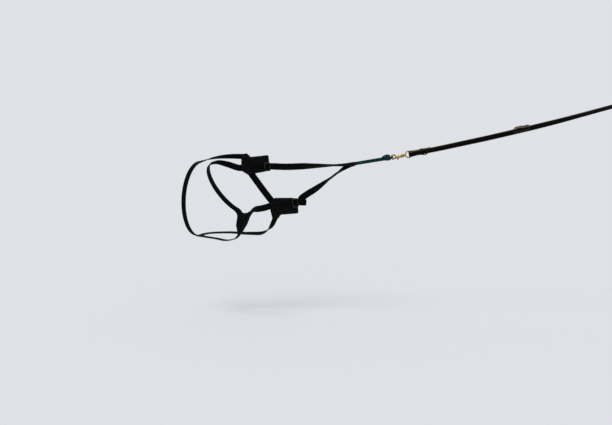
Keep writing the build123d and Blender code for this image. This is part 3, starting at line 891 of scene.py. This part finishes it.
def webbing_and_trace(label, where, route, droop):
    """Webbing sewn on the pad, up over the slide's bars, and on as the trace."""
    low = -THICK / 2
    corners = [(WEB_ENDS[0], low), (-6.6, low), (-3.2, 4.3), (3.2, 4.3), (6.6, low), (WEB_ENDS[1], low)]
    woven = rings_in(where.origin, where.x, where.z, where.y, rounded(corners, [2.2] * 4), WEB)
    woven = turned_over(woven)
    flown = follow([(spot_in(where, WEB_ENDS[1], 0, low), where.y, WEB)] + route, start=where.x)
    flown = turned_over(flown)
    webbing(f"trace {label}", woven + flown[1:], f"pad_webbing_{label}", f"trace_{label}", cup=0.25)
    flat = [ring for ring in woven if (ring[0] - where.origin).dot(where.x) < -12]
    rows = edge_rows(flat, 2.4, THICK + 0.4) + edge_rows(flown[1:-6], 2.4)
    stitches(f"trace {label} sewing", rows)
    span = [(spot_in(where, x, 0, low), where.x, where.y, WEB) for x in range(-92, -62, 3)]
    stitches(f"pad box sewing {label}", box_rows(span, 3.5, THICK / 2), radius=0.45, pitch=3.0)

    # Free end of the webbing, tucked behind the trace, with its corners cut round
    turn = math.radians(-droop)
    start = spot_in(where, 12, 0, -1.5 * THICK)
    along = where.x * math.cos(turn) + where.y * math.sin(turn)
    across = where.y * math.cos(turn) - where.x * math.sin(turn)
    tail = []
    for x in (0, 3, 6, 9, 12, 15, 18, 21, 24, 25.5, 27, 28.2, 29.2, 29.9):
        width = WEB - 10 + 2 * math.sqrt(25 - max(0.0, x - 25) ** 2)
        tail.append((start + along * x, along, -across, width))
    webbing(f"strap end {label}", tail, f"strap_tail_{label}")


LEFT_ROUTE = [
    ((268.5, 62, -52), (-0.60, 0, 0.80), WEB), ((284, 56.5, -39), (-0.60, 0.15, 0.79), WEB),
    ((322, 42.5, -11.5), (-0.45, 0.62, 0.64), WEB), ((350, 31.5, 11), (-0.27, 0.90, 0.33), WEB),
    ((376, 21.5, 33), (-0.06, 1, 0.05), WEB), ((390, 16.5, 44.8), (-0.03, 1, 0.10), 24),
    ((404, 11.5, 56.5), (0, 1, 0.12), 23), ((428, 5, 75), (0, 0.84, 0.54), 22),
    ((450, 1.2, 85.6), (0, 0.8, 0.6), 19),
]
RIGHT_ROUTE = [
    ((199, 48, 71.2), (0, 0.05, 1), WEB), ((232, 41.5, 72.8), (0, 0.26, 0.97), WEB),
    ((266, 35.5, 75.6), (0, 0.42, 0.91), WEB), ((300, 28.5, 78), (0, 0.75, 0.66), WEB),
    ((340, 20, 81), (0, 0.93, 0.37), WEB), ((370, 13, 83.2), (0, 0.985, 0.17), 24),
    ((388, 8.8, 84.8), (0, 0.995, 0.08), 23), ((408, 4.4, 86.4), (0, 0.985, 0.17), 22),
    ((428, 0, 88), (0, 0.95, 0.31), 21), ((450, -1.2, 89.6), (0, 0.8, 0.6), 19),
]


def thread_ring(middle, side, half, out, rise, count, power=1.0):
    """Closed path round a middle: an oval, or squarer with a power below 1."""
    path = []
    for i in range(count):
        a = TURN * i / count
        x, y = (math.copysign(abs(v) ** power, v) for v in (math.cos(a), math.sin(a)))
        path.append(middle + side * (half * x) + out * (rise * y))
    return path


def bridle_lap():
    """Both traces' ends laid over each other and sewn round the rope's tail."""
    spots = (((444, 0, 86.4), 21.0), ((452, 0, 88.3), 20.2), ((461, 0, 90.5), 17.4), ((471, 0, 93.0), 13.4))
    rings = follow([(spot, (0, 0.8, 0.6), width) for spot, width in spots], 3.0)
    plies, rows = Heap(), []
    for face in (1, -1):
        plies.band(rings, 2.5, 0.8, shift=2.3 * face, cup=-0.8 * face)
        rows += box_rows(rings[1:-6], 2.5, 3.7 * face)
    plies.band([(s, a, c, w - 2.5) for s, a, c, w in rings[:-1]], 2.6, 0.8)
    build("bridle lap", plies, [BLACK_WEB], ["bridle_lap"])
    stitches("bridle lap sewing", rows, pitch=2.6, length=2.3, radius=0.42)
    whip = Heap()
    for k in range(6):
        step, t = divmod(0.45 * k, 1)
        first = len(rings) - 5 + int(step)
        (spot, along, side, wide), (ahead, _, _, narrow) = rings[first:first + 2]
        half = (wide * (1 - t) + narrow * t) / 2 + 0.3
        path = thread_ring(spot.lerp(ahead, t), side, half, along.cross(side), 4.1, 40, 0.6)
        whip.pipe(path, 0.7, 6, closed=True)
    build("lap whipping", whip, [WHIPPING])


# Rope: yarns that pass over and under each other round a core


def even(path, step):
    """The same line as points that are 'step' apart."""
    dense = [path[0]]
    carry = 0.0
    for a, b in zip(path, path[1:]):
        span = (b - a).length
        reach = step - carry
        while reach <= span:
            dense.append(a.lerp(b, reach / span))
            reach += step
        carry = span - (reach - step)
    return dense + [path[-1]]


def cord(name, path, radius, *nodes, turn=20.0, pairs=6, step=0.5):
    """Braided rope along a path: half of the yarns turn one way and half the other."""
    heap = Heap()
    line = even(path, step)
    frames = carried(line)
    crown = radius - 0.95
    wide = TURN * crown / pairs / math.hypot(1, TURN * crown / turn) * 0.53
    for hand in (1, -1):
        for k in range(pairs):
            yarn, rays, rails = [], [], []
            for i, (spot, (along, out, side)) in enumerate(zip(line, frames)):
                s = i * step
                a = TURN * (k / pairs + hand * s / turn)
                weave = math.cos(TURN * pairs * s / turn) * (1 if k % 2 == 0 else -1) * hand
                rays.append(side * math.cos(a) + out * math.sin(a))
                yarn.append(spot + rays[-1] * (crown + 0.42 * weave))
            for i, ray in enumerate(rays):
                ahead = (yarn[min(i + 1, len(yarn) - 1)] - yarn[max(i - 1, 0)]).normalized()
                ray = (ray - ahead * ray.dot(ahead)).normalized()
                rails.append((ahead, ray, ahead.cross(ray)))
            heap.pipe(yarn, wide, 6, 0.50, rails, paint=1 if k == 0 and hand == 1 else 0)
    heap.pipe(line[::4] + [line[-1]], crown - 0.25, 10, paint=2)
    build(name, heap, ROPE_PAINTS, nodes)


SNAP = sloped((652, 0, 124), 13.8, 0)
ROPE_START = Vector((470, 0, 93))
HOOK_WIRE, HOOK_X, HOOK_Z, HOOK_RADIUS = 2.5, -41.0, 3.2, 8.2
BIGHT_Z = HOOK_Z + 0.3
KNOT_END = spot_in(SNAP, -53.2, 0, BIGHT_Z)
ROPE_LINE = (KNOT_END - ROPE_START).normalized()
ABOVE_ROPE = Vector((-ROPE_LINE.z, 0, ROPE_LINE.x))
ROPE_SIDE = ROPE_LINE.cross(ABOVE_ROPE)
KNOT_START = KNOT_END - ROPE_LINE * 22


def round_knot(ahead, above, side):
    """Spot beside the tug rope, from where its knot starts."""
    return KNOT_START + ROPE_LINE * ahead + ABOVE_ROPE * above + ROPE_SIDE * side


def tug_rope():
    for name, hand in (("upper", 1), ("lower", -1)):
        path = []
        for i in range(61):
            t = i / 60
            spot = (ROPE_START - ROPE_LINE * 4).lerp(KNOT_END - ROPE_LINE * 3, t)
            slack = 0.25 * math.sin(t * 9 + hand)
            path.append(spot + ABOVE_ROPE * ((2.8 + 0.6 * t) * hand) + ROPE_SIDE * slack)
        cord(f"tug rope {name}", path, STRAND / 2 + 0.25, f"tug_rope_{name}")

    # Knot: three wraps round both strands, and a riding turn that crosses them on top
    coil = []
    for i in range(181):
        t = i / 180
        a = TURN * (3.05 * t) - 1.9
        reach = 7.7 + 0.9 * math.sin(math.pi * t) - 0.9 * max(0.0, 1 - 6 * t)
        coil.append(round_knot(3.3 + 17.8 * t, reach * math.sin(a) + 2.3, reach * math.cos(a)))
    cord("tug knot wraps", coil, 3.45, "tug_knot", turn=21.0)
    rider = []
    for i in range(91):
        t = i / 90
        a = math.radians(-75 + 330 * t)
        lift = math.sin(math.pi * t) ** 0.5
        above, side = (7.8 + 1.6 * lift) * math.sin(a) + 2.6, (8.0 + 2.0 * lift) * math.cos(a)
        rider.append(round_knot(18.6 - 15.0 * t, above, side))
    cord("tug knot riding turn", rider, 3.2)

    # Rope's own end, led back out of the knot and sunk into the upper strand
    spots = ((-13, 3.9), (-7, 5.8), (0, 10.0), (9, 11.2))
    stations = [(round_knot(ahead, above, 0), ROPE_SIDE, 6) for ahead, above in spots]
    cord("tug knot tail", [ring[0] for ring in follow(stations, 0.5)], 3.1)

    # Short seizing of paler twine, just past the sewn lap
    twine = Heap()
    for k in range(5):
        middle = ROPE_START + ROPE_LINE * (17.5 + 1.5 * k)
        twine.pipe(thread_ring(middle, ROPE_SIDE, 3.8, ABOVE_ROPE, 6.3, 28), 0.75, 6, closed=True)
    build("rope seizing", twine, [TEAL_PALE])

    # Bight round the hook
    wrap = HOOK_WIRE + ROPE / 2 + 0.05
    legs = [(-56.5 + k * 0.6, wrap * min(1.0, 0.62 + k * 0.07)) for k in range(12)]
    bends = [-math.pi / 2 + math.pi * i / 40 for i in range(1, 40)]
    line = [(x, -y) for x, y in legs]
    line += [(HOOK_X - HOOK_RADIUS + wrap * math.cos(a), wrap * math.sin(a)) for a in bends]
    line += reversed(legs)
    cord("tug rope bight", [spot_in(SNAP, x, y, BIGHT_Z) for x, y in line], ROPE / 2, "tug_bight")


# Leather lead

SEWN_ACROSS = (-8.4, -4, 0, 4, 8.4)


def ends_sewn(where, xs, ys):
    """Rows across the lead that close a lap's sewing at both its ends."""
    return [[spot_in(where, x, y, z) for z in SEWN_ACROSS] for x in xs for y in ys]


def lead_fold(fold):
    """Leather led through the swivel's eye and sewn back on itself, with room for the round ring."""
    turn, ply, proud = 2.1 + LEAD_THICK / 2, 0.01 + LEAD_THICK / 2, 1.9 + LEAD_THICK / 2
    front = [
        (0, -turn), (5, -turn), (20, -ply), (35, -ply), (40.8, -proud), (47.2, -proud), (53, -ply), (80, -ply)
    ]
    upper = rounded(front, [30, 30, 5, 5, 5, 5])
    bends = [math.pi * k / 16 for k in range(1, 16)]
    points = upper[::-1] + [Vector((-turn * math.sin(a), -turn * math.cos(a), 0)) for a in bends]
    points += [Vector((p.x, -p.y, 0)) for p in upper]
    leather("lead fold through the swivel eye", rings_in(*fold, points, LEAD_WIDTH), "lead_fold")
    lap = [(spot_in(fold, x, 0, 0), fold.x, fold.z, LEAD_WIDTH) for x in range(15, 78, 3)]
    outer = 4 * ply + 0.1
    rows = edge_rows(lap[:7], 2.6, outer) + edge_rows(lap[14:], 2.6, outer)
    rows += ends_sewn(fold, (15, 77), (outer / 2, -outer / 2))
    stitches("lead fold sewing", rows, WAXED_THREAD, 4.0, 3.1, 0.5, "lead")
    return spot_in(fold, 80, -ply, 0)


def lead_strap(fold, loop, start):
    stations = [(start, fold.z, LEAD_WIDTH)]
    for x, z, roll in (
        (860, 167.5, 22.5), (960, 189.5, 21), (1052, 211.1, 21), (1122, 228, 21),
        (1237, 257.2, 29.5), (1335, 284.2, 38), (1432, 310.8, 40), (1470, 320.4, 40),
    ):
        b = math.radians(roll)
        stations.append(((x, 0, z), (-0.24 * math.cos(b), -math.sin(b), 0.97 * math.cos(b)), LEAD_WIDTH))
    leather("lead strap", follow(stations, 6.0, fold.x, loop.x), "lead_strap", cup=0.25)


def hand_loop(loop):
    back = LEAD_THICK + 0.02
    corners = [(0, 0), (62, 0), (118, -22), (200, -23), (225, 7), (200, 37), (118, 34), (62, back), (2, back)]
    points = rounded(corners, [60, 60, 24, 22, 24, 60, 60])
    leather("hand loop", rings_in(*loop, points, LEAD_WIDTH), "hand_loop")
    lap = [(spot_in(loop, x, back / 2, 0), loop.x, loop.z, LEAD_WIDTH) for x in range(6, 60, 3)]
    rows = edge_rows(lap, 2.6, 2 * LEAD_THICK + 0.2)
    rows += ends_sewn(loop, (6, 57), (-LEAD_THICK / 2 - 0.1, back + LEAD_THICK / 2 + 0.1))
    stitches("hand loop sewing", rows, WAXED_THREAD, 4.0, 3.1, 0.5, "lead")


def folded_over(tab, x, half, low, high, count, width):
    """Rings of a strip folded over the lead's edge: up one face, round its crown and down the other."""
    rise = [low + (high - low) * k / count for k in range(count + 1)]
    bends = [math.pi * k / 12 for k in range(1, 12)]
    line = [(-half, y) for y in rise] + [(-half * math.cos(a), high + half * math.sin(a)) for a in bends]
    line += [(half, y) for y in reversed(rise)]
    points = [Vector((*spot, 0)) for spot in line]
    return rings_in(spot_in(tab, x, 0, 0), tab.y, tab.z, tab.x, points, width, 1.5)


def ring_saddle(tab):
    """Saddle round the long ring's bar, and the thin tongue beside it."""
    inner = LEAD_THICK / 2 + 0.02 + 1.1
    rings = folded_over(tab, -10, inner, -7, 15.5, 15, 28)
    leather("ring saddle", rings, "ring_tab", thick=2.2, corner=0.5, paints=[FOLDED])
    rows = []
    for y in (-inner - 1.15, inner + 1.15):
        rows += [[spot_in(tab, x, y, z) for x in range(-21, 2, 2)] for z in (8.6, -5.4)]
        rows += [[spot_in(tab, x, y, z) for z in (-5.4, -2, 1.5, 5, 8.6)] for x in (-21, 1)]
    stitches("ring saddle sewing", rows, WHIPPING, 3.6, 2.8, 0.45, "lead")
    rings = folded_over(tab, 15, LEAD_THICK / 2 + 0.02 + 0.6, 3, 10.4, 5, 22)
    leather("saddle tongue", rings, thick=1.2, corner=0.5, paints=[TONGUE])


neck_strap()
chest_straps()
girth()
side_pad("left", LEFT_SIDE, 1)
side_pad("right", RIGHT_SIDE, -1)
chest_plate()
webbing_and_trace("left", LEFT_SIDE, LEFT_ROUTE, 10)
webbing_and_trace("right", RIGHT_SIDE, RIGHT_ROUTE, 6)
bridle_lap()
tug_rope()
FOLD = sloped(spot_in(SNAP, 22, 0, 0), 11.5, 25)
LOOP = sloped((1470, 0, 320.4), 14, 40)
lead_strap(FOLD, LOOP, lead_fold(FOLD))
hand_loop(LOOP)
ring_saddle(sloped((1089, 0, 220.03), 13.57, 21))

# The snap's bolt takes the darker copy of the brass, which is painted shade.
for material, names in (
    (BRASS, ("snap_body", "swivel_eye")), (SHADED_BOLT_BRASS, ("snap_bolt",)),
    (BLACKED, ("lap_ring", "tab_ring")), (SLIDE, ("slider_left", "slider_right")),
):
    for name in names:
        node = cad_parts[name]
        if not node.material_slots:
            node.data.materials.append(material)
        for slot in node.material_slots:
            slot.material = material


# Floor, light and camera

FLOOR_HALF, FLOOR_LEVEL = 40, -0.51
pale = bpy.data.materials.new("pale floor")
pale.use_nodes = True
for key, value in (
    ("Base Color", (0.739, 0.751, 0.772, 1)), ("Roughness", 0.9), ("Specular IOR Level", 0.0)
):
    pale.node_tree.nodes["Principled BSDF"].inputs[key].default_value = value
ground = bpy.data.meshes.new("floor")
corners = [(x * FLOOR_HALF, y * FLOOR_HALF, FLOOR_LEVEL) for x, y in ((-1, -1), (1, -1), (1, 1), (-1, 1))]
ground.from_pydata(corners, [], [(0, 1, 2, 3)])
ground.materials.append(pale)
floor = placed("floor", ground)

sky = bpy.data.worlds.new("pale sky")
sky.use_nodes = True
backdrop = sky.node_tree.nodes["Background"].inputs
backdrop["Color"].default_value = (0.93, 0.945, 0.985, 1)
backdrop["Strength"].default_value = 0.72
bpy.context.scene.world = sky

sun = bpy.data.lights.new("soft sun", "SUN")
sun.energy = 1.2
sun.angle = math.radians(25)
sun.color = (1.0, 0.985, 0.96)
sun_holder = placed("soft sun", sun)
sun_holder.rotation_euler = Vector((0.35, 0.45, -1.0)).to_track_quat("-Z", "Y").to_euler()

AIM, TILT, DISTANCE = Vector((0.285, 0, -0.094)), math.radians(12), 9
lens = bpy.data.cameras.new("camera")
lens.sensor_width = 36
lens.lens = 141.2
lens.clip_start, lens.clip_end = 0.05, 300
camera = placed("camera", lens)
camera.location = AIM + Vector((0, -math.cos(TILT), math.sin(TILT))) * DISTANCE
camera.rotation_euler = (AIM - camera.location).to_track_quat("-Z", "Y").to_euler()
bpy.context.scene.camera = camera
bpy.context.scene.view_settings.view_transform = "Standard"
